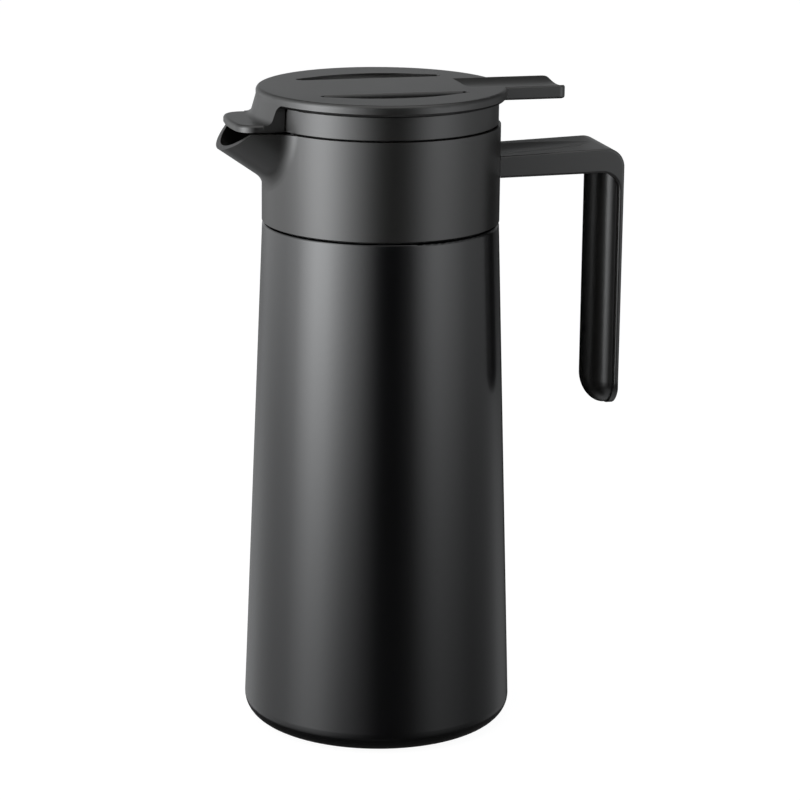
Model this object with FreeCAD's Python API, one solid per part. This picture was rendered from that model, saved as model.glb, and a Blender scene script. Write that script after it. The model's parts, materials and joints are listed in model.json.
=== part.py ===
import FreeCAD, Part
import math
import os

from FreeCAD import Vector

# Thermal pot, in millimetres. The origin is the middle of the foot, +Z is up, the handle is
# on +X and the spout on -X. The pot stands on the plane z = 0.

# Shared fits
cut_overrun = 30.0          # how far a cutting solid runs past what it cuts
weld_gap = 0.05             # between pieces that are welded, pressed or glued together
seat_gap = 0.1              # between fixed pieces that are clamped together
slide_gap = 0.3             # between pieces that move past each other
pin_gap = 0.06              # radial play of the hinge
edge_break = 0.5            # small rounding of moulded edges
full_turn = 360             # degrees

# Painted steel body
body_height = 200.85
body_top_radius = 45.87
body_foot_radius = 53.2     # where the tapered wall would meet the ground
foot_rounding = 8.0
foot_ring_width = 9.7       # from the wall in to the base plate
shoulder_rounding = 1.2
steel_wall = 0.6
ground_clearance = 0.5      # height of the shell's lowest edge above the ground
neck_rise = 25.15           # of the neck above the shoulder

# Inner vessel
vessel_wall = 0.5
vacuum_space = 4.0
vessel_floor_height = 8.0
vessel_rounding = 9.0
vessel_shoulder_rounding = 5.0
vessel_shoulder_drop = 7.85  # below the shell's shoulder
vessel_neck_drop = 2.35

# Foot
base_plate_wall = 0.8
base_recess_depth = 1.8
base_rim_width = 2.2
pad_groove_inset = 10.25    # from the pad's edge
pad_groove_width = 3.0
pad_groove_depth = 0.8
seal_plug_radius = 4.0
seal_plug_thickness = 1.2
getter_radius = 7.0
getter_thickness = 1.6
getter_x = 20.0

# Spout collar
collar_overhang = 0.13      # beyond the shell's top edge
collar_seam = 0.8           # dark line between shell and collar
collar_height = 37.65
collar_wall = 3.0
collar_floor_lift = 1.9
collar_floor_thickness = 3.0
gasket_inset = 1.2          # from the neck
gasket_width = 4.0
spout_radius = 22.0
spout_rise = 34.7           # degrees, slope of the keel
keel_reach = 3.3            # of a point of the keel beyond the barrel
keel_drop = 18.4            # of that point below the rim
spout_wall = 2.2
spout_root = 10.0           # how far back the trough starts, inside the bore
tall_share = 3.0            # height of the forming stock above the rim, in spout radii
spout_root_rounding = 8.0
lip_reach = 18.2            # of the lip's tip beyond the barrel
lip_rim_reach = 9.3         # of the point where the lip meets the collar's rim

# Neck ring and the thread that the stopper runs on
ring_wall = 1.8
ring_flange_gap = 1.0
ring_flange_thickness = 2.2
ring_top_drop = 1.0         # below the neck's end
thread_space = 2.1          # from the ring out to the stopper's skirt
thread_starts = 3
thread_lead = 24.0          # rise in a full turn
thread_depth = 1.5
rib_thickness = 2.0
rib_sweep = 88.0            # degrees
lug_thickness = 2.0
lug_sweep = 14.0            # degrees
thread_gap = 0.35           # play above a lug

# Handle
handle_half_width = 16.0
arm_drop = 12.2             # of the arm's top below the collar's rim
arm_thickness = 9.0
arm_rise = 1.7              # how much the arm's top climbs to the corner
arm_under_rise = 1.0        # how much its underside climbs
handle_length = 47.8        # from the collar out to the strip's face
handle_corner_rounding = 7.5
handle_inner_rounding = 7.0
strip_thickness = 2.2
strip_length = 93.9         # below the arm
strip_end_rounding = 11.5
arm_edge_rounding = 1.0
channel_side = 4.5          # from the arm's side to the channel
channel_depth = 1.6
channel_length = 36.0
grip_depth = 10.2           # from the strip's face to the inside of the grip
grip_side_inset = 1.6
grip_overhang = 0.6         # below the strip's end
grip_end_length = 11.0      # of the grip's rounded end
grip_peg_radius = 2.0
grip_peg_length = 1.4
grip_peg_lift = 22.0        # of the lower peg above the grip's end
handle_screw_spacing = 15.0
handle_screw_radius = 1.5
handle_screw_head_radius = 2.7
handle_screw_head_height = 1.5
handle_screw_length = 14.0

# Stopper
plug_inset = 2.35           # from the inner vessel's neck
plug_wall = 2.0
plug_depth = 22.9           # below the deck
deck_lift = 1.8             # above the neck's end
deck_thickness = 2.4
stopper_wall = 1.6
skirt_lift = 4.9            # above the collar's floor
stopper_gap = 0.4           # around the stopper in the collar
ring_inset = 0.9            # of the visible ring from the collar's face
stopper_ring_height = 9.3
stopper_ring_wall = 2.5
window_half_width = 16.2
notch_side_gap = 0.3
notch_depth = 7.9
duct_inset = 2.7            # from the plug's wall
duct_radius = 8.0
duct_wall = 1.8
base_cap_thickness = 2.2
base_cap_boss_wall = 1.8
base_boss_reach = 4.0       # of the base cap's boss into the plug
seal_height = 3.2
seal_gap = 0.15
seal_rounding = 1.2

# Hinge at the back of the stopper
hinge_inset = 5.1           # from the visible ring's face
hinge_drop = 2.9            # below the visible ring's top
pin_radius = 1.5
ear_radius = 3.4
ear_thickness = 2.0
knuckle_radius = 3.2
knuckle_start = 4.3         # half of the bay that the spring sits in
knuckle_overlap = 4.0       # of the knuckle's arm on the liner
knuckle_thickness = 2.2
spring_wire_radius = 0.4
spring_mean_radius = 2.6
spring_pitch = 1.35
spring_turns = 5
coil_steps = 4              # pieces in a turn of the coil

# Lid
lid_overhang = 3.2          # beyond the visible ring
lid_thickness = 4.2
lid_rim_inset = 2.7
lid_plate_thickness = 2.6
lid_top_rounding = 1.6
lid_under_chamfer = 1.0
bar_half_width = 19.0
bar_edge_rounding = 1.3
bar_crest = 0.1             # how far above the lid the bar's rounding would close
bar_wall = 1.8
scoop_end_inset = 12.8      # from the lid's edge in to the scoops' pointed ends
scoop_width = 16.0          # where the outer edges would meet
scoop_depth = 1.7           # at the bar
scoop_edge_depth = 0.3      # at the outer edge
scoop_rounding = 45.0
scoop_end_rounding = 1.8
lever_half_width = 13.3
lever_reach = 21.7          # beyond the lid's edge
lever_thickness = 5.1
lever_corner_rounding = 2.5
lever_edge_rounding = 0.9
thumb_groove_length = 38.5
thumb_groove_side = 1.5     # from the lever's side to the groove
thumb_groove_depth = 1.4
skirt_top_half_width = 18.1
skirt_flare = 2.2           # of the foot beyond the lid's edge
skirt_toe = 2.5             # of the foot's rounding beyond that
skirt_foot_rounding = 2.4
skirt_side_rounding = 3.0
cover_tip_inset = 3.4       # from the lip's tip
cover_corner_setback = 1.8
cover_half_width = 17.5
cover_nose_rounding = 75.0
cover_back_inset = 5.0
cover_corner_rounding = 7.5
cover_lift = 0.5            # above the collar's rim
cover_thickness = 2.7
cover_edge_rounding = 1.4
cover_ring_gap = 0.6

# Liner, valve and their screws
liner_thickness = 1.6
liner_drop = 5.0            # below the lid's plate
liner_ring_gap = 3.6
liner_hinge_gap = 7.0
boss_radius = 3.0
front_boss_inset = 7.0
front_boss_y = 10.0
back_boss_inset = 13.0
back_boss_y = 12.0
liner_screw_radius = 1.1
liner_screw_head_radius = 2.1
liner_screw_head_height = 1.2
liner_screw_length = 6.0
valve_seat_width = 4.2      # of the gasket around the duct
valve_gasket_lip = 1.2
valve_gasket_thickness = 2.0
valve_stem_radius = 5.0
valve_plate_thickness = 1.8
valve_nose_gap = 3.0        # around the nose in the duct
valve_nose_length = 4.0

# Heights that follow from the sizes above, from the foot to the lid
base_ceiling = ground_clearance + base_recess_depth
neck_height = body_height + neck_rise
vessel_shoulder_height = body_height - vessel_shoulder_drop
vessel_neck_start = body_height - vessel_neck_drop
collar_bottom = body_height + collar_seam
collar_top = collar_bottom + collar_height
collar_floor_bottom = collar_bottom + collar_floor_lift
collar_floor_top = collar_floor_bottom + collar_floor_thickness
keel_z = collar_top - keel_drop
ring_top = neck_height - ring_top_drop
arm_top = collar_top - arm_drop
arm_bottom = arm_top - arm_thickness
arm_middle = (arm_bottom + arm_top) / 2
strip_bottom = arm_bottom - strip_length
grip_bottom = strip_bottom - grip_overhang
skirt_bottom = collar_floor_top + skirt_lift
deck_bottom = neck_height + deck_lift
deck_top = deck_bottom + deck_thickness
plug_bottom = deck_bottom - plug_depth
base_cap_bottom = plug_bottom - seal_height - 2 * seal_gap - base_cap_thickness
stopper_ring_bottom = collar_top + slide_gap
stopper_ring_top = stopper_ring_bottom + stopper_ring_height
notch_bottom = stopper_ring_top - notch_depth
hinge_z = stopper_ring_top - hinge_drop
lid_rim_bottom = stopper_ring_top + slide_gap
lid_top = lid_rim_bottom + lid_thickness
lid_underside = lid_top - lid_plate_thickness
lever_bottom = lid_top - lever_thickness
cover_bottom = collar_top + cover_lift
cover_top = cover_bottom + cover_thickness
liner_top = lid_underside - liner_drop
liner_bottom = liner_top - liner_thickness

# Radii and places that follow, from the outside in
base_opening_radius = body_foot_radius - foot_ring_width
base_recess_radius = base_opening_radius - weld_gap - base_rim_width
pad_groove_radius = base_recess_radius - pad_groove_inset
collar_radius = body_top_radius + collar_overhang
collar_bore = collar_radius - collar_wall
stopper_radius = collar_bore - stopper_gap
stopper_bore = stopper_radius - stopper_wall
neck_ring_radius = stopper_bore - thread_space
neck_radius = neck_ring_radius - ring_wall - seat_gap
neck_bore = neck_radius - steel_wall - weld_gap - vessel_wall
ring_flange_radius = collar_bore - ring_flange_gap
plug_radius = neck_bore - plug_inset
plug_bore = plug_radius - plug_wall
base_boss_radius = plug_bore - weld_gap
duct_outer_radius = duct_radius + duct_wall
duct_x = duct_inset + duct_outer_radius - plug_bore
keel_x = -collar_radius - keel_reach
lip_tip_x = -collar_radius - lip_reach
lip_rim_x = -collar_radius - lip_rim_reach
handle_reach = collar_radius + handle_length
strip_inner_x = handle_reach - strip_thickness
grip_inner_x = handle_reach - grip_depth
grip_half_width = handle_half_width - grip_side_inset
channel_half_width = handle_half_width - channel_side
channel_end_x = collar_radius + channel_length
handle_screw_places = (-handle_screw_spacing / 2, handle_screw_spacing / 2)
ring_outer_radius = collar_radius - ring_inset
ring_inner_radius = ring_outer_radius - stopper_ring_wall
hinge_x = ring_outer_radius - hinge_inset
ear_start = knuckle_start + knuckle_thickness + slide_gap
ear_end = ear_start + ear_thickness
notch_half_width = ear_end + notch_side_gap
lid_radius = ring_outer_radius + lid_overhang
scoop_end = lid_radius - scoop_end_inset
lever_tip_x = lid_radius + lever_reach
thumb_groove_x = lever_tip_x - thumb_groove_length
thumb_groove_half_width = lever_half_width - thumb_groove_side
skirt_foot_radius = lid_radius + skirt_flare
front_clearance_radius = ring_outer_radius + cover_ring_gap
cover_tip_x = lip_tip_x + cover_tip_inset
cover_corner_x = cover_tip_x + cover_corner_setback
liner_radius = ring_inner_radius - liner_ring_gap
liner_back_x = hinge_x - liner_hinge_gap
front_boss_x = front_boss_inset - liner_radius
back_boss_x = liner_back_x - back_boss_inset
valve_gasket_radius = duct_radius + valve_seat_width
valve_radius = valve_gasket_radius - valve_gasket_lip
valve_nose_radius = duct_radius - valve_nose_gap


def corner_arc(before, spot, after, rounding):
    # start, middle and end of the arc that rounds one corner of an outline
    to_before = (before - spot).normalize()
    to_after = (after - spot).normalize()
    half = to_before.getAngle(to_after) / 2
    reach = rounding / math.tan(half)
    inset = (to_before + to_after).normalize() * (rounding / math.sin(half) - rounding)
    return spot + to_before * reach, spot + inset, spot + to_after * reach


def rounded_wire(corners, place):
    # closed outline from (u, v, rounding) corners; place turns u and v into a point in space
    spots = [place(u, v) for u, v, rounding in corners]
    edges = []
    joins = []
    for i, spot in enumerate(spots):
        rounding = corners[i][2]
        start = spot
        end = spot
        if rounding > 0:
            start, middle, end = corner_arc(spots[i - 1], spot, spots[(i + 1) % len(spots)], rounding)
            edges.append(Part.Arc(start, middle, end).toShape())
        joins.append((start, end))
    for i, (start, end) in enumerate(joins):
        edges.append(Part.makeLine(end, joins[(i + 1) % len(joins)][0]))
    return Part.Wire(Part.__sortEdges__(edges))


def turned(corners):
    # solid of revolution about Z from (radius, height, rounding) corners
    face = Part.Face(rounded_wire(corners, lambda radius, z: Vector(radius, 0, z)))
    return face.revolve(Vector(0, 0, 0), Vector(0, 0, 1), full_turn)


def prism_z(corners, bottom, top):
    face = Part.Face(rounded_wire(corners, lambda x, y: Vector(x, y, bottom)))
    return face.extrude(Vector(0, 0, top - bottom))


def prism_y(corners, half_width):
    face = Part.Face(rounded_wire(corners, lambda x, z: Vector(x, -half_width, z)))
    return face.extrude(Vector(0, 2 * half_width, 0))


def prism_x(corners, back, front):
    face = Part.Face(rounded_wire(corners, lambda y, z: Vector(back, y, z)))
    return face.extrude(Vector(front - back, 0, 0))


def tube(inner, outer, bottom, top):
    return turned([(inner, bottom, 0), (outer, bottom, 0), (outer, top, 0), (inner, top, 0)])


def post(radius, x, y, bottom, top):
    return Part.makeCylinder(radius, top - bottom, Vector(x, y, bottom))


def rod_x(radius, start, end, y, z):
    return Part.makeCylinder(radius, end - start, Vector(start, y, z), Vector(1, 0, 0))


def rod_y(radius, start, end, x, z):
    return Part.makeCylinder(radius, end - start, Vector(x, start, z), Vector(0, 1, 0))


def block(x_span, y_span, z_span):
    low = Vector(x_span[0], y_span[0], z_span[0])
    return Part.makeBox(x_span[1] - x_span[0], y_span[1] - y_span[0], z_span[1] - z_span[0], low)


def mirrored(shape):
    return shape.mirror(Vector(0, 0, 0), Vector(0, 1, 0))


def wall_radius(z):
    # outer radius of the tapered steel wall
    return body_foot_radius + (body_top_radius - body_foot_radius) * z / body_height


def outer_shell():
    foot = wall_radius(ground_clearance)
    return turned([
        (base_opening_radius, ground_clearance, 0),
        (foot, ground_clearance, foot_rounding),
        (body_top_radius, body_height, shoulder_rounding),
        (neck_radius, body_height, 0),
        (neck_radius, neck_height, 0),
        (neck_radius - steel_wall, neck_height, 0),
        (neck_radius - steel_wall, body_height - steel_wall, 0),
        (body_top_radius - steel_wall, body_height - steel_wall, 0),
        (foot - steel_wall, ground_clearance + steel_wall, foot_rounding - steel_wall),
        (base_opening_radius, ground_clearance + steel_wall, 0),
    ])


def inner_vessel():
    outer_neck = neck_bore + vessel_wall
    floor_radius = wall_radius(vessel_floor_height) - steel_wall - vacuum_space
    top_radius = wall_radius(vessel_shoulder_height) - steel_wall - vacuum_space
    lip_bottom = neck_height + weld_gap
    return turned([
        (0, vessel_floor_height, 0),
        (floor_radius, vessel_floor_height, vessel_rounding),
        (top_radius, vessel_shoulder_height, vessel_shoulder_rounding),
        (outer_neck, vessel_neck_start, 0),
        (outer_neck, lip_bottom, 0),
        (neck_radius, lip_bottom, 0),
        (neck_radius, lip_bottom + vessel_wall, 0),
        (neck_bore, lip_bottom + vessel_wall, 0),
        (neck_bore, vessel_neck_start, 0),
        (top_radius - vessel_wall, vessel_shoulder_height, vessel_shoulder_rounding),
        (floor_radius - vessel_wall, vessel_floor_height + vessel_wall, vessel_rounding - vessel_wall),
        (0, vessel_floor_height + vessel_wall, 0),
    ])


def base_plate():
    # pressed disc whose recess holds the foot pad, with a hole for the seal plug
    rim = base_opening_radius - weld_gap
    hole = seal_plug_radius + weld_gap
    return turned([
        (hole, base_ceiling, 0),
        (base_recess_radius, base_ceiling, 0),
        (base_recess_radius, ground_clearance, 0),
        (rim, ground_clearance, 0),
        (rim, ground_clearance + base_plate_wall, 0),
        (base_recess_radius + base_plate_wall, ground_clearance + base_plate_wall, 0),
        (base_recess_radius + base_plate_wall, base_ceiling + base_plate_wall, 0),
        (hole, base_ceiling + base_plate_wall, 0),
    ])


def vacuum_seal_plug():
    return post(seal_plug_radius, 0, 0, base_ceiling, base_ceiling + seal_plug_thickness)


def getter_pellet():
    bottom = base_ceiling + base_plate_wall + weld_gap
    return post(getter_radius, getter_x, 0, bottom, bottom + getter_thickness)


def foot_pad():
    # soft pad in the base plate's recess, with a round groove on its underside
    outer = base_recess_radius - weld_gap
    top = base_ceiling - weld_gap
    form = turned([(0, 0, 0), (outer, 0, edge_break), (outer, top, 0), (0, top, 0)])
    groove_inner = pad_groove_radius - pad_groove_width
    return form.cut(tube(groove_inner, pad_groove_radius, -cut_overrun, pad_groove_depth))


def collar_gasket():
    inner = neck_radius + gasket_inset
    return tube(inner, inner + gasket_width, body_height + weld_gap, collar_floor_bottom - weld_gap)


def spout_cylinder(radius):
    # the spout is a round trough along a rising line, whose lowest edge is the keel
    rise = math.radians(spout_rise)
    along = Vector(-math.cos(rise), 0, math.sin(rise))
    across = Vector(math.sin(rise), 0, math.cos(rise))
    start = Vector(keel_x, 0, keel_z) + across * spout_radius - along * spout_root
    return Part.makeCylinder(radius, spout_root + cut_overrun, start, along)


def above_lip():
    # everything above the slanted lip and the collar's flat rim
    tip_z = keel_z + (keel_x - lip_tip_x) * math.tan(math.radians(spout_rise))
    slope = (collar_top - tip_z) / (lip_rim_x - lip_tip_x)
    front = lip_tip_x - cut_overrun
    ceiling = collar_top + spout_radius * tall_share
    return prism_y([
        (collar_radius + cut_overrun, collar_top, 0),
        (lip_rim_x, collar_top, 0),
        (front, tip_z + slope * (front - lip_tip_x), 0),
        (front, ceiling, 0),
        (collar_radius + cut_overrun, ceiling, 0),
    ], collar_radius + cut_overrun)


def spout_collar():
    height = collar_top - collar_bottom + spout_radius * tall_share
    barrel = post(collar_radius, 0, 0, collar_bottom, collar_bottom + height)
    form = barrel.fuse(spout_cylinder(spout_radius))
    root = [edge for edge in form.Edges if touches_both(edge)]
    form = form.makeFillet(spout_root_rounding, root)
    form = form.cut(above_lip())
    form = form.cut(spout_cylinder(spout_radius - spout_wall))
    form = form.cut(post(collar_bore, 0, 0, collar_floor_top, collar_top + cut_overrun))
    form = form.cut(post(collar_bore, 0, 0, collar_bottom - cut_overrun, collar_floor_bottom))
    form = form.cut(post(neck_radius + seat_gap, 0, 0, collar_bottom, collar_top))
    shank = handle_screw_radius + seat_gap
    head = handle_screw_head_radius + seat_gap
    for y in handle_screw_places:
        form = form.cut(rod_x(shank, 0, collar_radius + cut_overrun, y, arm_middle))
        form = form.cut(rod_x(head, 0, collar_bore + handle_screw_head_height, y, arm_middle))
    return form


def touches_both(edge):
    # the edge where the spout grows out of the collar's barrel
    middle = edge.valueAt((edge.FirstParameter + edge.LastParameter) / 2)
    on_barrel = abs(math.hypot(middle.x, middle.y) - collar_radius) < edge_break
    return on_barrel and middle.x < 0 and not isinstance(edge.Curve, (Part.Circle, Part.Line))


def handle_screws():
    screws = []
    head_end = collar_bore + handle_screw_head_height
    shank_end = collar_bore + handle_screw_length
    for y in handle_screw_places:
        head = rod_x(handle_screw_head_radius, collar_bore, head_end, y, arm_middle)
        shank = rod_x(handle_screw_radius, collar_bore, shank_end, y, arm_middle)
        screws.append(head.fuse(shank))
    return Part.makeCompound(screws)


def helix_rib(inner, outer, bottom, thickness, start, sweep):
    # a square-edged thread rib from the start angle, climbing with the thread's lead
    spine = Part.makeHelix(thread_lead, thread_lead * sweep / full_turn, inner)
    profile = Part.makePolygon([
        Vector(inner, 0, 0),
        Vector(outer, 0, 0),
        Vector(outer, 0, thickness),
        Vector(inner, 0, thickness),
        Vector(inner, 0, 0),
    ])
    rib = Part.Wire(spine.Edges).makePipeShell([profile], True, True)
    rib.rotate(Vector(0, 0, 0), Vector(0, 0, 1), start)
    rib.translate(Vector(0, 0, bottom))
    return rib


def thread_angles():
    return [full_turn * i / thread_starts for i in range(thread_starts)]


def neck_ring():
    inner = neck_radius + seat_gap
    bottom = collar_floor_top + seat_gap
    form = turned([
        (inner, bottom, 0),
        (ring_flange_radius, bottom, 0),
        (ring_flange_radius, bottom + ring_flange_thickness, 0),
        (neck_ring_radius, bottom + ring_flange_thickness, 0),
        (neck_ring_radius, ring_top, 0),
        (inner, ring_top, 0),
    ])
    rib_bottom = skirt_bottom + lug_thickness + thread_gap
    root = neck_ring_radius - ring_wall / 2
    for angle in thread_angles():
        rib = helix_rib(root, neck_ring_radius + thread_depth, rib_bottom, rib_thickness, angle, rib_sweep)
        form = form.fuse(rib)
    return form


def arm_top_at(x):
    return arm_top + arm_rise * (x - collar_radius) / (handle_reach - collar_radius)


def arm_channel():
    # shallow thumb channel, deepest at the collar and running out towards the corner
    radius = (channel_half_width ** 2 + channel_depth ** 2) / (2 * channel_depth)
    start = Vector(collar_radius, 0, arm_top - channel_depth + radius)
    end = Vector(channel_end_x, 0, arm_top_at(channel_end_x) + radius)
    along = (end - start).normalize()
    length = (end - start).Length + 2 * cut_overrun
    return Part.makeCylinder(radius, length, start - along * cut_overrun, along)


def peg_heights():
    return (grip_bottom + grip_peg_lift, arm_bottom - grip_peg_lift)


def handle_frame():
    form = prism_y([
        (0, arm_bottom, 0),
        (strip_inner_x, arm_bottom + arm_under_rise, handle_inner_rounding),
        (strip_inner_x, strip_bottom, 0),
        (handle_reach, strip_bottom, 0),
        (handle_reach, arm_top_at(handle_reach), handle_corner_rounding),
        (0, arm_top_at(0), 0),
    ], handle_half_width)
    form = form.makeFillet(arm_edge_rounding, [edge for edge in form.Edges if on_handle_side(edge)])
    end = prism_x([
        (-handle_half_width, strip_bottom, strip_end_rounding),
        (handle_half_width, strip_bottom, strip_end_rounding),
        (handle_half_width, arm_top + cut_overrun, 0),
        (-handle_half_width, arm_top + cut_overrun, 0),
    ], 0, handle_reach)
    form = form.common(end)
    form = form.cut(arm_channel())
    form = form.cut(post(collar_radius + seat_gap, 0, 0, collar_bottom, collar_top))
    peg_end = strip_inner_x + grip_peg_length
    for z in peg_heights():
        form = form.cut(rod_x(grip_peg_radius + weld_gap, grip_inner_x, peg_end, 0, z))
    screw_end = collar_bore + handle_screw_length + seat_gap
    for y in handle_screw_places:
        form = form.cut(rod_x(handle_screw_radius + weld_gap, 0, screw_end, y, arm_middle))
    return form


def on_handle_side(edge):
    return all(abs(abs(vertex.Y) - handle_half_width) < weld_gap for vertex in edge.Vertexes) and (
        abs(edge.Vertexes[0].Y - edge.Vertexes[-1].Y) < weld_gap)


def handle_grip():
    # half an oval in section, with an oval end
    outer = strip_inner_x - seat_gap
    top = arm_bottom + arm_under_rise - seat_gap
    end_top = grip_bottom + grip_end_length
    side = Vector(outer, grip_half_width, end_top)
    inner = Vector(grip_inner_x, 0, end_top)
    oval = Part.Ellipse(side, inner, Vector(outer, 0, end_top))
    form = Part.Face(Part.Wire(oval.toShape())).extrude(Vector(0, 0, top - end_top))
    stretch = FreeCAD.Matrix()
    stretch.scale((outer - grip_inner_x) / grip_half_width, 1, grip_end_length / grip_half_width)
    stretch.move(Vector(outer, 0, end_top))
    form = form.fuse(Part.makeSphere(grip_half_width).transformGeometry(stretch))
    form = form.common(prism_y([
        (0, grip_bottom - cut_overrun, 0),
        (outer, grip_bottom - cut_overrun, 0),
        (outer, top, handle_inner_rounding),
        (0, arm_bottom - seat_gap, 0),
    ], handle_half_width))
    middle = (grip_inner_x + outer) / 2
    for z in peg_heights():
        form = form.fuse(rod_x(grip_peg_radius, middle, outer + grip_peg_length, 0, z))
    return form


def stopper_body():
    # the stopper's deck and its skirt, whose lugs run under the ribs of the neck ring
    form = turned([
        (0, deck_bottom, 0),
        (stopper_bore, deck_bottom, 0),
        (stopper_bore, skirt_bottom, 0),
        (stopper_radius, skirt_bottom, 0),
        (stopper_radius, deck_top, 0),
        (0, deck_top, 0),
    ])
    hole = duct_outer_radius + weld_gap
    form = form.cut(post(hole, duct_x, 0, deck_bottom - cut_overrun, deck_top + cut_overrun))
    lug_tip = neck_ring_radius + slide_gap
    lug_root = stopper_radius - stopper_wall / 2
    for angle in thread_angles():
        form = form.fuse(helix_rib(lug_tip, lug_root, skirt_bottom, lug_thickness, angle, lug_sweep))
    return form


def stopper_ring():
    # wall on the deck's edge, with the ring that shows, the pouring window and the hinge ears
    bottom = deck_top + weld_gap
    form = turned([
        (stopper_bore, bottom, 0),
        (stopper_radius, bottom, 0),
        (stopper_radius, stopper_ring_bottom, 0),
        (ring_outer_radius, stopper_ring_bottom, edge_break),
        (ring_outer_radius, stopper_ring_top, edge_break),
        (ring_inner_radius, stopper_ring_top, 0),
        (ring_inner_radius, stopper_ring_bottom + stopper_wall, 0),
        (stopper_bore, stopper_ring_bottom + stopper_wall, 0),
    ])
    high = stopper_ring_top + cut_overrun
    far = ring_outer_radius + cut_overrun
    window = (-window_half_width, window_half_width)
    form = form.cut(block((-far, 0), window, (bottom - cut_overrun, high)))
    form = form.cut(block((0, far), (-notch_half_width, notch_half_width), (notch_bottom, high)))
    ear = rod_y(ear_radius, ear_start, ear_end, hinge_x, hinge_z)
    foot = block((hinge_x - ear_radius, stopper_bore), (ear_start, ear_end), (bottom, hinge_z))
    ear = ear.fuse(foot)
    form = form.fuse([ear, mirrored(ear)])
    return form.cut(rod_y(pin_radius + weld_gap, -notch_half_width, notch_half_width, hinge_x, hinge_z))


def plug_sleeve():
    return tube(plug_bore, plug_radius, plug_bottom, deck_bottom - weld_gap)


def duct_tube():
    # the drink's way up through the plug; its rim is the valve's seat
    form = post(duct_outer_radius, duct_x, 0, base_cap_bottom, deck_top)
    return form.cut(post(duct_radius, duct_x, 0, base_cap_bottom - cut_overrun, deck_top + cut_overrun))


def stopper_seal():
    inner = base_boss_radius + seal_gap
    outer = neck_bore - slide_gap
    bottom = base_cap_bottom + base_cap_thickness + seal_gap
    top = bottom + seal_height
    return turned([
        (inner, bottom, 0),
        (outer, bottom, seal_rounding),
        (outer, top, seal_rounding),
        (inner, top, 0),
    ])


def stopper_base():
    flange_top = base_cap_bottom + base_cap_thickness
    boss_inner = base_boss_radius - base_cap_boss_wall
    boss_top = plug_bottom + base_boss_reach
    form = turned([
        (0, base_cap_bottom, 0),
        (plug_radius, base_cap_bottom, edge_break),
        (plug_radius, flange_top, 0),
        (base_boss_radius, flange_top, 0),
        (base_boss_radius, boss_top, 0),
        (boss_inner, boss_top, 0),
        (boss_inner, flange_top, 0),
        (0, flange_top, 0),
    ])
    hole = duct_outer_radius + weld_gap
    return form.cut(post(hole, duct_x, 0, base_cap_bottom - cut_overrun, boss_top))


def insulation_core():
    bottom = plug_bottom + base_boss_reach + seat_gap
    top = deck_bottom - seat_gap
    form = post(plug_bore - seat_gap, 0, 0, bottom, top)
    hole = duct_outer_radius + seat_gap
    return form.cut(post(hole, duct_x, 0, bottom - cut_overrun, top + cut_overrun))


def hinge_pin():
    return rod_y(pin_radius, -ear_end, ear_end, hinge_x, hinge_z)


def coil_point(turn):
    angle = math.radians(full_turn * turn)
    x = hinge_x + spring_mean_radius * math.cos(angle)
    z = hinge_z + spring_mean_radius * math.sin(angle)
    return Vector(x, spring_pitch * (turn - spring_turns / 2), z)


def coil_direction(turn):
    angle = math.radians(full_turn * turn)
    around = spring_mean_radius * math.radians(full_turn)
    return Vector(-around * math.sin(angle), spring_pitch, around * math.cos(angle)).normalize()


def biarc(start, start_way, end, end_way):
    # two arcs that leave start along start_way and reach end along end_way
    span = end - start
    ways = start_way + end_way
    bend = 2 * (1 - start_way.dot(end_way))
    reach = (math.sqrt(span.dot(ways) ** 2 + bend * span.dot(span)) - span.dot(ways)) / bend
    first = start + start_way * reach
    second = end - end_way * reach
    middle = (first + second) / 2
    arcs = []
    for before, spot, after in ((start, first, middle), (middle, second, end)):
        half = (before - spot).getAngle(after - spot) / 2
        through = corner_arc(before, spot, after, reach * math.tan(half))[1]
        arcs.append(Part.Arc(before, through, after).toShape())
    return arcs


def return_spring():
    # torsion coil on the pin: one leg stands on the stopper, the other bears up under the lever
    stops = [i / coil_steps for i in range(spring_turns * coil_steps + 1)]
    start = coil_point(0)
    end = coil_point(spring_turns)
    low = Vector(start.x, start.y, notch_bottom + seat_gap)
    high = Vector(end.x, end.y, lid_underside - slide_gap)
    edges = [Part.makeLine(low, start)]
    for turn, then in zip(stops, stops[1:]):
        edges += biarc(coil_point(turn), coil_direction(turn), coil_point(then), coil_direction(then))
    edges.append(Part.makeLine(end, high))
    ring = Part.Wire(Part.makeCircle(spring_wire_radius, low, start - low))
    wire = Part.Wire(edges).makePipeShell([ring], True, False)
    gaps = [(coil_point(turn + 1) - coil_point(turn)).Length for turn in stops[:-coil_steps]]
    print("return_spring: least gap between turns", round(min(gaps) - 2 * spring_wire_radius, 3))
    return wire


def scoop():
    # shallow hollow beside the bar: its floor falls towards the bar, whose edge is rounded over
    high = lid_top + cut_overrun
    far = bar_half_width + scoop_width
    form = prism_z([
        (-scoop_end, bar_half_width, scoop_end_rounding),
        (scoop_end, bar_half_width, scoop_end_rounding),
        (0, far, scoop_rounding),
    ], lid_top - scoop_depth, high)
    form = form.common(prism_x([
        (bar_half_width, lid_top - scoop_depth, 0),
        (far, lid_top - scoop_edge_depth, 0),
        (far, high, 0),
        (bar_half_width, high, 0),
    ], -scoop_end, scoop_end))
    end = scoop_end - scoop_end_rounding / math.tan(math.atan2(scoop_width, scoop_end) / 2)
    inside = bar_half_width - 2 * bar_edge_rounding
    outside = bar_half_width + bar_edge_rounding
    low = lid_top - bar_edge_rounding
    roll = prism_x([
        (outside, low, 0),
        (outside, high, 0),
        (inside, high, 0),
        (inside, lid_top + bar_crest, 0),
        (bar_half_width, lid_top + bar_crest, bar_edge_rounding),
        (bar_half_width, low, 0),
    ], -end, end)
    return form.fuse(roll)


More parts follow.
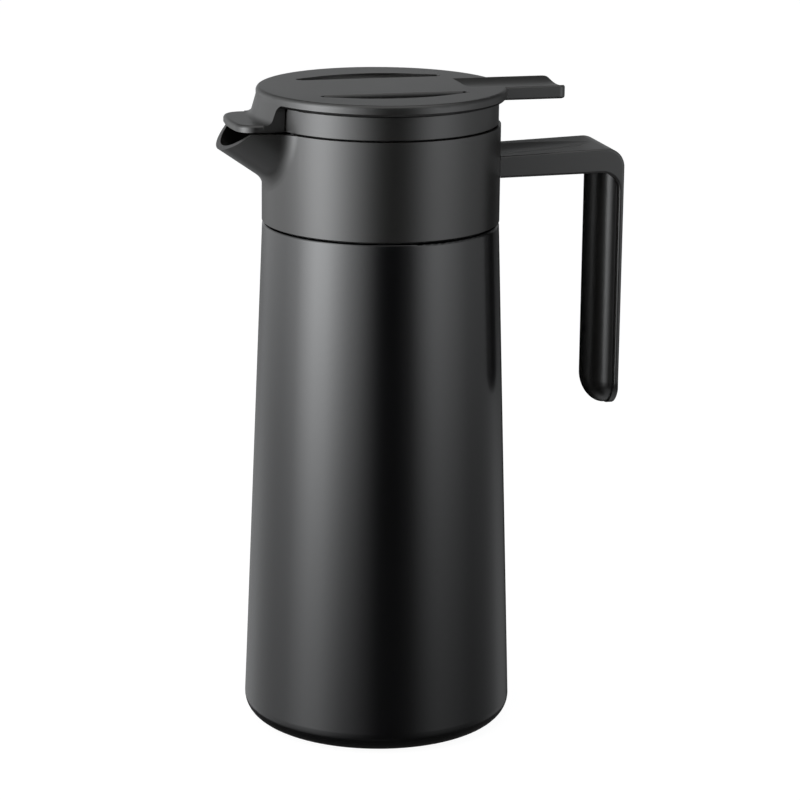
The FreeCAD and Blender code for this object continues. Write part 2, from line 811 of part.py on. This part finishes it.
def lid_rib():
    # rib under the bar's edge, down to the liner
    end = math.sqrt(liner_radius ** 2 - bar_half_width ** 2)
    sides = (bar_half_width - bar_wall, bar_half_width)
    return block((-end, end), sides, (liner_top + seat_gap, lid_underside + weld_gap))


def lever():
    back = lid_radius - lid_rim_inset
    form = prism_z([
        (back, -lever_half_width, 0),
        (lever_tip_x, -lever_half_width, lever_corner_rounding),
        (lever_tip_x, lever_half_width, lever_corner_rounding),
        (back, lever_half_width, 0),
    ], lever_bottom, lid_top)
    rims = [edge for edge in form.Edges if is_level(edge) and edge.BoundBox.XMax > back + weld_gap]
    return form.makeFillet(lever_edge_rounding, rims)


def is_level(edge):
    return edge.BoundBox.ZLength < weld_gap


def thumb_groove():
    radius = (thumb_groove_half_width ** 2 + thumb_groove_depth ** 2) / (2 * thumb_groove_depth)
    middle = lid_top - thumb_groove_depth + radius
    return rod_x(radius, thumb_groove_x, lever_tip_x + cut_overrun, 0, middle)


def front_skirt():
    # leaning wall from the lid's rim down to the spout cover, swept out where it meets the cover
    shoulder = lid_rim_bottom + lid_under_chamfer
    high = lid_top - lid_top_rounding
    lean = turned([
        (front_clearance_radius, high, 0),
        (front_clearance_radius, cover_bottom, 0),
        (skirt_foot_radius + skirt_toe, cover_bottom, 0),
        (skirt_foot_radius + skirt_toe, cover_top, 0),
        (skirt_foot_radius, cover_top, skirt_foot_rounding),
        (lid_radius, shoulder, 0),
        (lid_radius, high, 0),
    ])
    wide = skirt_top_half_width + 2 * skirt_side_rounding
    outline = prism_x([
        (-wide, lid_top, 0),
        (wide, lid_top, 0),
        (wide, shoulder, 0),
        (skirt_top_half_width, shoulder, skirt_side_rounding),
        (cover_half_width, cover_bottom, 0),
        (-cover_half_width, cover_bottom, 0),
        (-skirt_top_half_width, shoulder, skirt_side_rounding),
        (-wide, shoulder, 0),
    ], -skirt_foot_radius - cut_overrun, 0)
    return lean.common(outline)


def spout_cover():
    back = -ring_outer_radius + cover_back_inset
    form = prism_z([
        (back, -cover_half_width, 0),
        (back, cover_half_width, 0),
        (cover_corner_x, cover_half_width, cover_corner_rounding),
        (cover_tip_x, 0, cover_nose_rounding),
        (cover_corner_x, -cover_half_width, cover_corner_rounding),
    ], cover_bottom, cover_top)
    rims = []
    for edge in form.Edges:
        if is_level(edge) and edge.BoundBox.ZMin > cover_bottom and edge.BoundBox.XMin < back - weld_gap:
            rims.append(edge)
    return form.makeFillet(cover_edge_rounding, rims)


def boss_places():
    front = [(front_boss_x, -front_boss_y), (front_boss_x, front_boss_y)]
    back = [(back_boss_x, -back_boss_y), (back_boss_x, back_boss_y)]
    return front + back


def lid_cover():
    rim_inner = lid_radius - lid_rim_inset
    form = turned([
        (0, lid_underside, 0),
        (rim_inner, lid_underside, 0),
        (rim_inner, lid_rim_bottom, 0),
        (lid_radius - lid_under_chamfer, lid_rim_bottom, 0),
        (lid_radius, lid_rim_bottom + lid_under_chamfer, 0),
        (lid_radius, lid_top, lid_top_rounding),
        (0, lid_top, 0),
    ])
    front = front_skirt().fuse(spout_cover())
    front = front.cut(post(front_clearance_radius, 0, 0, cover_bottom - cut_overrun, lid_rim_bottom))
    form = form.fuse([front, lever(), lid_rib(), mirrored(lid_rib())])
    form = form.cut([scoop(), mirrored(scoop()), thumb_groove()])
    for x, y in boss_places():
        form = form.fuse(post(boss_radius, x, y, liner_top + seat_gap, lid_underside + weld_gap))
    tip = liner_bottom + liner_screw_length + seat_gap
    for x, y in boss_places():
        form = form.cut(post(liner_screw_radius + weld_gap, x, y, liner_top, tip))
    return form


def lid_liner():
    half_width = bar_half_width - bar_wall - seat_gap
    form = post(liner_radius, 0, 0, liner_bottom, liner_top)
    flat = block((-liner_radius, liner_back_x), (-half_width, half_width), (liner_bottom, liner_top))
    form = form.common(flat)
    knuckle_end = knuckle_start + knuckle_thickness
    knuckle = rod_y(knuckle_radius, knuckle_start, knuckle_end, hinge_x, hinge_z)
    root = liner_back_x - knuckle_overlap
    arm = block((root, hinge_x), (knuckle_start, knuckle_end), (liner_bottom, hinge_z + pin_radius))
    arm = arm.fuse(knuckle)
    form = form.fuse([arm, mirrored(arm)])
    form = form.cut(rod_y(pin_radius + pin_gap, -liner_radius, liner_radius, hinge_x, hinge_z))
    hole = liner_screw_radius + seat_gap
    for x, y in boss_places():
        form = form.cut(post(hole, x, y, liner_bottom - cut_overrun, liner_top + cut_overrun))
    return form


def liner_screws():
    screws = []
    seat = liner_bottom - weld_gap
    bottom = seat - liner_screw_head_height
    for x, y in boss_places():
        head = post(liner_screw_head_radius, x, y, bottom, seat)
        shank = post(liner_screw_radius, x, y, bottom, seat + liner_screw_length)
        screws.append(head.fuse(shank))
    return Part.makeCompound(screws)


def valve_gasket():
    bottom = deck_top + slide_gap
    form = post(valve_gasket_radius, duct_x, 0, bottom, bottom + valve_gasket_thickness)
    hole = valve_nose_radius + weld_gap
    return form.cut(post(hole, duct_x, 0, bottom - cut_overrun, bottom + cut_overrun))


def valve_plug():
    plate_bottom = deck_top + slide_gap + valve_gasket_thickness + weld_gap
    plate_top = plate_bottom + valve_plate_thickness
    stem_top = liner_bottom - weld_gap
    form = post(valve_radius, duct_x, 0, plate_bottom, plate_top)
    form = form.fuse(post(valve_stem_radius, duct_x, 0, plate_bottom, stem_top))
    return form.fuse(post(valve_nose_radius, duct_x, 0, plate_bottom - valve_nose_length, plate_top))


def export(name, shape):
    shape.exportStep("parts/" + name + ".step")
    print(name, round(shape.Volume), "mm3", shape.isValid(), len(shape.Solids))


os.makedirs("parts", exist_ok=True)
pieces = (
    outer_shell, inner_vessel, base_plate, vacuum_seal_plug, getter_pellet, foot_pad,
    spout_collar, collar_gasket, neck_ring, handle_frame, handle_grip, handle_screws,
    stopper_seal, stopper_body, stopper_ring, plug_sleeve, duct_tube, stopper_base,
    insulation_core, hinge_pin, return_spring,
    lid_cover, lid_liner, liner_screws, valve_plug, valve_gasket,
)
for piece in pieces:
    export(piece.__name__, piece())
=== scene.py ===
import bmesh
import bpy
import json
import math
from mathutils import Matrix, Vector

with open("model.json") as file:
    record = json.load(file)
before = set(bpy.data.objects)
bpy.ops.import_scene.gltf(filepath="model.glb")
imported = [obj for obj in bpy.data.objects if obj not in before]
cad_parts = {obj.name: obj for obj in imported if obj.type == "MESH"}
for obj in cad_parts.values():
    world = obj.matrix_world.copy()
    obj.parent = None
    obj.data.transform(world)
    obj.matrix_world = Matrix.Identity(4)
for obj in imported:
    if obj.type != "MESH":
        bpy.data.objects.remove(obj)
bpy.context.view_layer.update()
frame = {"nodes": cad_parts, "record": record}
nodes = frame["nodes"]
print("stage: frame loaded")


# Wraps a socket, so that shader sums read like sums.
class Wire:
    def __init__(self, shading, socket):
        self.shading = shading
        self.socket = socket

    def sum(self, operation, first, second):
        return self.shading.node("ShaderNodeMath", {"operation": operation}, {0: first, 1: second})

    def __add__(self, other):
        return self.sum("ADD", self, other)

    def __radd__(self, other):
        return self.sum("ADD", other, self)

    def __sub__(self, other):
        return self.sum("SUBTRACT", self, other)

    def __rsub__(self, other):
        return self.sum("SUBTRACT", other, self)

    def __mul__(self, other):
        return self.sum("MULTIPLY", self, other)

    def __rmul__(self, other):
        return self.sum("MULTIPLY", other, self)


# Makes and joins the nodes of one tree.
class Shading:
    def __init__(self, tree):
        self.tree = tree

    def node(self, kind, settings=None, sockets=None, out=0):
        made = self.tree.nodes.new(kind)
        for key, value in (settings or {}).items():
            setattr(made, key, value)
        for key, value in (sockets or {}).items():
            self.feed(made.inputs[key], value)
        return Wire(self, made.outputs[out])

    def feed(self, socket, value):
        if isinstance(value, Wire):
            self.tree.links.new(value.socket, socket)
        else:
            socket.default_value = value

    def seen(self):
        # 1 where the eye, a mirror or glass looks
        rays = ("Is Camera Ray", "Is Glossy Ray", "Is Transmission Ray")
        eye, mirror, glass = (self.node("ShaderNodeLightPath", out=ray) for ray in rays)
        return eye + mirror + glass


class Finish(Shading):
    def __init__(self, name):
        self.material = bpy.data.materials.new(name)
        self.material.use_nodes = True
        super().__init__(self.material.node_tree)
        self.shader = self.tree.nodes["Principled BSDF"]
        self.surface = self.tree.nodes["Material Output"].inputs["Surface"]

    def place(self):
        return self.node("ShaderNodeTexCoord", out="Object")

    def stretched(self, scale):
        return self.node("ShaderNodeMapping", sockets={"Vector": self.place(), "Scale": scale})

    def noise(self, vector, scale, detail, roughness=0.5):
        sockets = {"Vector": vector, "Scale": scale, "Detail": detail, "Roughness": roughness}
        return self.node("ShaderNodeTexNoise", sockets=sockets)

    def blend(self, share, look):
        # inputs 6 and 7 and output 2 are the mix's colours
        settings = {"data_type": "RGBA", "clamp_factor": True}
        sockets = {"Factor": share, 6: (*look["dark"], 1.0), 7: (*look["light"], 1.0)}
        return self.node("ShaderNodeMix", settings, sockets, out=2)

    def bump(self, height, strength, distance):
        sockets = {"Height": height, "Strength": strength, "Distance": distance}
        return self.node("ShaderNodeBump", sockets=sockets)

    def wear(self, **values):
        for key, value in values.items():
            self.feed(self.shader.inputs[key.replace("_", " ")], value)


def swing(pattern, amount):
    # a pattern's ups and downs about zero
    return (pattern - 0.5) * amount


# In each look a pattern is its scale, detail and roughness, and a bump its strength and depth in metres.
def makeBodyPaint():
    look = {
        "dark": (0.0012, 0.0012, 0.0014), "light": (0.0024, 0.0024, 0.0028),
        "cloud": (14.0, 3.0), "flake": (5200.0, 1.0), "peel": (420.0, 2.0), "cloudShare": 0.6,
        "rough": 0.235, "cloudRough": 0.05, "flakeRough": 0.06, "coat": 0.35, "coatRough": 0.12,
        "flakeBump": 0.15, "bump": (0.06, 0.0002),
    }
    finish = Finish("bodyPaint")
    place = finish.place()
    cloud = finish.noise(place, *look["cloud"])
    flake = finish.noise(place, *look["flake"])
    peel = finish.noise(place, *look["peel"])
    finish.wear(
        Base_Color=finish.blend(cloud * look["cloudShare"] + flake * (1 - look["cloudShare"]), look),
        Roughness=look["rough"] + swing(cloud, look["cloudRough"]) + swing(flake, look["flakeRough"]),
        Coat_Weight=look["coat"],
        Coat_Roughness=look["coatRough"],
        Normal=finish.bump(peel + flake * look["flakeBump"], *look["bump"]),
    )
    return finish.material


def makeSatinPlastic():
    look = {
        "dark": (0.007, 0.0068, 0.0062), "light": (0.0105, 0.0102, 0.0093),
        "cloud": (22.0, 3.0), "grain": (2600.0, 2.0, 0.6), "cloudShare": 0.7,
        "rough": 0.33, "cloudRough": 0.05, "grainRough": 0.07, "shine": 0.75, "bump": (0.12, 0.00012),
    }
    finish = Finish("satinPlastic")
    place = finish.place()
    cloud = finish.noise(place, *look["cloud"])
    grain = finish.noise(place, *look["grain"])
    finish.wear(
        Base_Color=finish.blend(cloud * look["cloudShare"] + grain * (1 - look["cloudShare"]), look),
        Roughness=look["rough"] + swing(cloud, look["cloudRough"]) + swing(grain, look["grainRough"]),
        Specular_IOR_Level=look["shine"],
        Normal=finish.bump(grain, *look["bump"]),
    )
    return finish.material


def makeInnerPlastic():
    look = {
        "dark": (0.008, 0.008, 0.008), "light": (0.014, 0.014, 0.0135),
        "cloud": (30.0, 2.0), "grain": (1900.0, 2.0),
        "rough": 0.46, "grainRough": 0.1, "bump": (0.1, 0.00012),
    }
    finish = Finish("innerPlastic")
    place = finish.place()
    cloud = finish.noise(place, *look["cloud"])
    grain = finish.noise(place, *look["grain"])
    finish.wear(
        Base_Color=finish.blend(cloud, look),
        Roughness=look["rough"] + swing(grain, look["grainRough"]),
        Normal=finish.bump(grain, *look["bump"]),
    )
    return finish.material


def makeSteel():
    look = {
        "dark": (0.50, 0.49, 0.475), "light": (0.64, 0.63, 0.61),
        "stretch": (40.0, 40.0, 2200.0), "brush": (1.0, 3.0, 0.6), "metal": 1.0,
        "rough": 0.24, "brushRough": 0.14, "bump": (0.08, 0.00008),
    }
    finish = Finish("brushedSteel")
    brush = finish.noise(finish.stretched(look["stretch"]), *look["brush"])
    finish.wear(
        Base_Color=finish.blend(brush, look),
        Metallic=look["metal"],
        Roughness=look["rough"] + brush * look["brushRough"],
        Normal=finish.bump(brush, *look["bump"]),
    )
    return finish.material


def makeSilicone():
    look = {
        "dark": (0.17, 0.17, 0.162), "light": (0.24, 0.238, 0.228),
        "cloud": (60.0, 3.0), "dust": (1500.0, 2.0), "cloudShare": 0.6,
        "rough": 0.55, "dustRough": 0.15, "bump": (0.1, 0.0001),
    }
    finish = Finish("silicone")
    place = finish.place()
    cloud = finish.noise(place, *look["cloud"])
    dust = finish.noise(place, *look["dust"])
    finish.wear(
        Base_Color=finish.blend(cloud * look["cloudShare"] + dust * (1 - look["cloudShare"]), look),
        Roughness=look["rough"] + swing(dust, look["dustRough"]),
        Normal=finish.bump(dust, *look["bump"]),
    )
    return finish.material


def makeFoam():
    look = {
        "dark": (0.62, 0.61, 0.57), "light": (0.86, 0.855, 0.82), "cells": 420.0, "contrast": 1.2,
        "rough": 0.85, "cellRough": 0.1, "bump": (0.5, 0.0006),
    }
    finish = Finish("foam")
    sockets = {"Vector": finish.place(), "Scale": look["cells"]}
    cells = finish.node("ShaderNodeTexVoronoi", sockets=sockets)
    finish.wear(
        Base_Color=finish.blend(1 - cells * look["contrast"], look),
        Roughness=look["rough"] - cells * look["cellRough"],
        Normal=finish.bump(1 - cells, *look["bump"]),
    )
    return finish.material


def makeGetter():
    look = {
        "dark": (0.16, 0.16, 0.165), "light": (0.31, 0.31, 0.315), "powder": (1800.0, 3.0, 0.7),
        "metal": 0.7, "rough": 0.6, "powderRough": 0.2, "bump": (0.4, 0.0002),
    }
    finish = Finish("getterPowder")
    powder = finish.noise(finish.place(), *look["powder"])
    finish.wear(
        Base_Color=finish.blend(powder, look),
        Metallic=look["metal"],
        Roughness=look["rough"] + swing(powder, look["powderRough"]),
        Normal=finish.bump(powder, *look["bump"]),
    )
    return finish.material


materials = {
    "body_paint": makeBodyPaint(),
    "satin_plastic": makeSatinPlastic(),
    "inner_plastic": makeInnerPlastic(),
    "stainless": makeSteel(),
    "silicone": makeSilicone(),
    "foam": makeFoam(),
    "getter": makeGetter(),
}
slotOf = {part["node"]: part["material_slot"] for part in frame["record"]["subparts"]}
for name, node in nodes.items():
    node.data.materials.clear()
    node.data.materials.append(materials[slotOf[name]])
print("stage: materials made")

# The photograph's camera, fitted to the circles and seams of the object: metres, degrees, the focal
# length and the frame in pixels, and the sensor in millimetres.
photo = {
    "distance": 1.1817, "height": 0.4424, "azimuth": 14.5, "pitch": 14.859,
    "yaw": 0.402, "roll": 0.615, "focal": 3108.5, "frame": 800, "sensor": 36.0,
}
cameraSide = -90 - photo["azimuth"]  # degrees from +X round to the camera's side


def makeCamera():
    turn, pitch, yaw, roll = (math.radians(photo[key]) for key in ("azimuth", "pitch", "yaw", "roll"))
    across = Vector((math.cos(turn), -math.sin(turn), 0))
    away = Vector((math.sin(turn), math.cos(turn), 0))
    up = Vector((0, 0, 1))
    right = across * math.cos(yaw) - away * math.sin(yaw)
    ahead = (away * math.cos(yaw) + across * math.sin(yaw)) * math.cos(pitch) - up * math.sin(pitch)
    above = right.cross(ahead)
    rolledRight = right * math.cos(roll) + above * math.sin(roll)
    rolledUp = above * math.cos(roll) - right * math.sin(roll)
    spot = up * photo["height"] - away * photo["distance"]
    data = bpy.data.cameras.new("photoCamera")
    data.sensor_width = photo["sensor"]
    data.lens = photo["focal"] * photo["sensor"] / photo["frame"]
    camera = bpy.data.objects.new("photoCamera", data)
    bpy.context.scene.collection.objects.link(camera)
    turned = Matrix((rolledRight, rolledUp, -ahead)).transposed()
    camera.matrix_world = Matrix.Translation(spot) @ turned.to_4x4()
    bpy.context.scene.camera = camera


def around(left, distance, height):
    # a spot around the object, by its angle to the left of the camera's side
    angle = math.radians(cameraSide - left)
    return Vector((distance * math.cos(angle), distance * math.sin(angle), height))


def makeSoftBox(name, box):
    data = bpy.data.lights.new(name, "AREA")
    data.shape = "RECTANGLE"
    data.size = box["width"]
    data.size_y = box["tall"]
    data.energy = box["glow"] * box["width"] * box["tall"] * math.pi
    data.color = box["tint"]
    lamp = bpy.data.objects.new(name, data)
    bpy.context.scene.collection.objects.link(lamp)
    lamp.location = around(box["left"], box["distance"], box["height"])
    aim = Vector((0, 0, box["aim"])) - lamp.location
    lamp.rotation_euler = aim.to_track_quat("-Z", "Y").to_euler()
    lamp.visible_camera = False
    lamp.visible_glossy = False  # the light tent is what the finishes mirror


makeCamera()
softBoxes = {
    "keyBox": {"left": 57, "distance": 0.95, "height": 0.55, "aim": 0.2, "width": 0.6, "tall": 0.9,
               "glow": 1.6, "tint": (1.0, 0.99, 0.97)},
    "topBox": {"left": 20, "distance": 0.25, "height": 1.25, "aim": 0.2, "width": 0.9, "tall": 0.9,
               "glow": 1.0, "tint": (1.0, 1.0, 0.98)},
    "rightBox": {"left": -95, "distance": 1.2, "height": 0.5, "aim": 0.3, "width": 0.7, "tall": 0.9,
                 "glow": 0.6, "tint": (1.0, 1.0, 1.0)},
}
for name, box in softBoxes.items():
    makeSoftBox(name, box)


def makeWorld():
    # soft fill for the object, plain white for what is seen or mirrored
    sky = {
        "fill": {"Color": (0.9, 0.95, 1.0, 1.0), "Strength": 0.28},
        "white": {"Color": (1.0, 1.0, 1.0, 1.0), "Strength": 1.0},
    }
    world = bpy.data.worlds.new("studio")
    bpy.context.scene.world = world
    world.use_nodes = True
    world.node_tree.nodes.remove(world.node_tree.nodes["Background"])
    shading = Shading(world.node_tree)
    fill = shading.node("ShaderNodeBackground", sockets=sky["fill"])
    white = shading.node("ShaderNodeBackground", sockets=sky["white"])
    pick = shading.node("ShaderNodeMixShader", sockets={0: shading.seen(), 1: fill, 2: white})
    shading.feed(world.node_tree.nodes["World Output"].inputs["Surface"], pick)


def addStage(name, shape, material):
    mesh = bpy.data.meshes.new(name)
    shape.to_mesh(mesh)
    shape.free()
    mesh.materials.append(material)
    piece = bpy.data.objects.new(name, mesh)
    bpy.context.scene.collection.objects.link(piece)
    return piece


def showOnlyInReflections(piece):
    piece.visible_camera = False
    piece.visible_diffuse = False
    piece.visible_shadow = False
    piece.visible_transmission = False


def makeFloor():
    # White paper: it keeps a soft shadow and shows as white. In reflections the tent stands in for it.
    look = {"paper": (0.2, 0.2, 0.2, 1.0), "rough": 0.9, "shine": 0.0, "lift": 0.95, "half": 6.0}
    finish = Finish("paper")
    finish.wear(Base_Color=look["paper"], Roughness=look["rough"], Specular_IOR_Level=look["shine"])
    lift = finish.node("ShaderNodeEmission", sockets={"Strength": finish.seen() * look["lift"]})
    paper = Wire(finish, finish.shader.outputs[0])
    finish.feed(finish.surface, finish.node("ShaderNodeAddShader", sockets={0: paper, 1: lift}))
    shape = bmesh.new()
    bmesh.ops.create_grid(shape, x_segments=1, y_segments=1, size=look["half"])
    addStage("floor", shape, finish.material).visible_glossy = False


def between(table, spot):
    # straight lines between the points of a short table
    for (low, first), (high, second) in zip(table, table[1:]):
        if spot <= high:
            return first + (second - first) * max(spot - low, 0) / (high - low)
    return table[-1][1]


def makeTent():
    # Light tent round the object, seen only in reflections. Angles are degrees to the left of the camera's
    # side. "ring" times "rise" is the cloth: bright on the left, weaker on the right, dark in front.
    # "rim" times "sink" is what the white paper behind the object throws back low down, "back" times
    # "level" is the pale backdrop near the horizon, and "under" is the paper straight below.
    tent = {
        "radius": 0.8, "low": -0.9, "high": 1.3, "turns": 180, "rows": 44, "tint": (0.97, 0.985, 1.0),
        "under": 0.45,
        "ring": [(-180, 0.12), (-165, 0.1), (-150, 0.08), (-143, 0.06), (-128, 0.28), (-106, 0.45),
                 (-88, 0.7), (-73, 1.28), (-60, 1.75), (-53, 1.9), (-46, 1.65), (-34, 0.68), (-28, 0.2),
                 (-16, 0.02), (-5, 0.02), (1, 0.08), (12, 0.88), (30, 2.75), (42, 4.9), (50, 6.7),
                 (62, 7.2), (75, 4.6), (83, 2.7), (100, 1.65), (120, 1.2), (133, 0.95), (150, 0.4),
                 (180, 0.12)],
        "rise": [(-0.9, 0.0), (-0.4, 0.1), (-0.2, 0.2), (-0.08, 0.37), (-0.02, 0.58), (0.08, 1.0),
                 (0.3, 1.0), (0.6, 0.7), (1.3, 0.5)],
        "rim": [(-180, 0.05), (-160, 0.03), (-145, 0.2), (-132, 0.26), (-120, 0.18), (-105, 0.1),
                (-85, 0.03), (60, 0.03), (85, 0.28), (135, 0.42), (155, 0.3), (180, 0.2)],
        "sink": [(-0.9, 0.0), (-0.45, 1.0), (-0.2, 1.0), (-0.09, 0.75), (0.03, 0.0)],
        "back": [(-180, 1.0), (-160, 0.6), (-145, 0.0), (145, 0.0), (160, 0.6), (180, 1.0)],
        "level": [(0.08, 0.0), (0.2, 0.42), (0.4, 0.42), (0.54, 0.0)],
    }
    shape = bmesh.new()
    depth = tent["high"] - tent["low"]
    middle = Matrix.Translation((0, 0, (tent["high"] + tent["low"]) / 2))
    bmesh.ops.create_cone(shape, cap_ends=True, cap_tris=True, segments=tent["turns"],
                          radius1=tent["radius"], radius2=tent["radius"], depth=depth, matrix=middle)
    walls = [edge for edge in shape.edges if abs(edge.verts[0].co.z - edge.verts[1].co.z) > depth / 2]
    bmesh.ops.subdivide_edges(shape, edges=walls, cuts=tent["rows"] - 1, use_grid_fill=True)
    quarterRow = depth / tent["rows"] / 4
    roof = [face for face in shape.faces if face.calc_center_median().z > tent["high"] - quarterRow]
    bmesh.ops.delete(shape, geom=roof, context="FACES")  # the world's white shows through the top
    layer = shape.verts.layers.float_color.new("glow")
    for vert in shape.verts:
        left = cameraSide - math.degrees(math.atan2(vert.co.y, vert.co.x))
        left = (left + 180) % 360 - 180
        glow = between(tent["ring"], left) * between(tent["rise"], vert.co.z)
        glow += between(tent["rim"], left) * between(tent["sink"], vert.co.z)
        glow += between(tent["back"], left) * between(tent["level"], vert.co.z)
        if vert.co.z < tent["low"] + quarterRow:
            glow = tent["under"]
        vert[layer] = [glow * share for share in tent["tint"]] + [1.0]
    finish = Finish("tentCloth")
    cloth = finish.node("ShaderNodeAttribute", {"attribute_name": "glow"}, out="Color")
    finish.feed(finish.surface, finish.node("ShaderNodeEmission", sockets={"Color": cloth}))
    finish.material.cycles.emission_sampling = "NONE"
    showOnlyInReflections(addStage("lightTent", shape, finish.material))


def makeCard(name, glow):
    finish = Finish(name)
    finish.feed(finish.surface, finish.node("ShaderNodeEmission", sockets={"Strength": glow}))
    return finish.material


def makeFootShade():
    # the dark of the foot's own shadow, seen only where the foot mirrors the paper
    shade = {"radius": 0.0575, "lift": 0.0004, "turns": 64, "glow": 0.04}
    shape = bmesh.new()
    bmesh.ops.create_circle(shape, cap_ends=True, segments=shade["turns"], radius=shade["radius"],
                            matrix=Matrix.Translation((0, 0, shade["lift"])))
    showOnlyInReflections(addStage("footShade", shape, makeCard("footShade", shade["glow"])))


def makeFlag():
    # black card behind the handle, seen only in reflections: it keeps the grip and the arm's top dark
    flag = {"middle": (0.0425, 0.1, 0.123), "half": (0.0725, 1.0, 0.123), "glow": 0.0}
    stand = Matrix.Rotation(math.radians(90), 4, "X")
    spread = Matrix.Diagonal((*flag["half"], 1.0))
    shape = bmesh.new()
    bmesh.ops.create_grid(shape, x_segments=1, y_segments=1, size=1.0,
                          matrix=Matrix.Translation(flag["middle"]) @ spread @ stand)
    showOnlyInReflections(addStage("flag", shape, makeCard("flag", flag["glow"])))


makeWorld()
makeFloor()
makeTent()
makeFootShade()
makeFlag()
bpy.context.scene.view_settings.view_transform = "Standard"
print("stage: studio set")
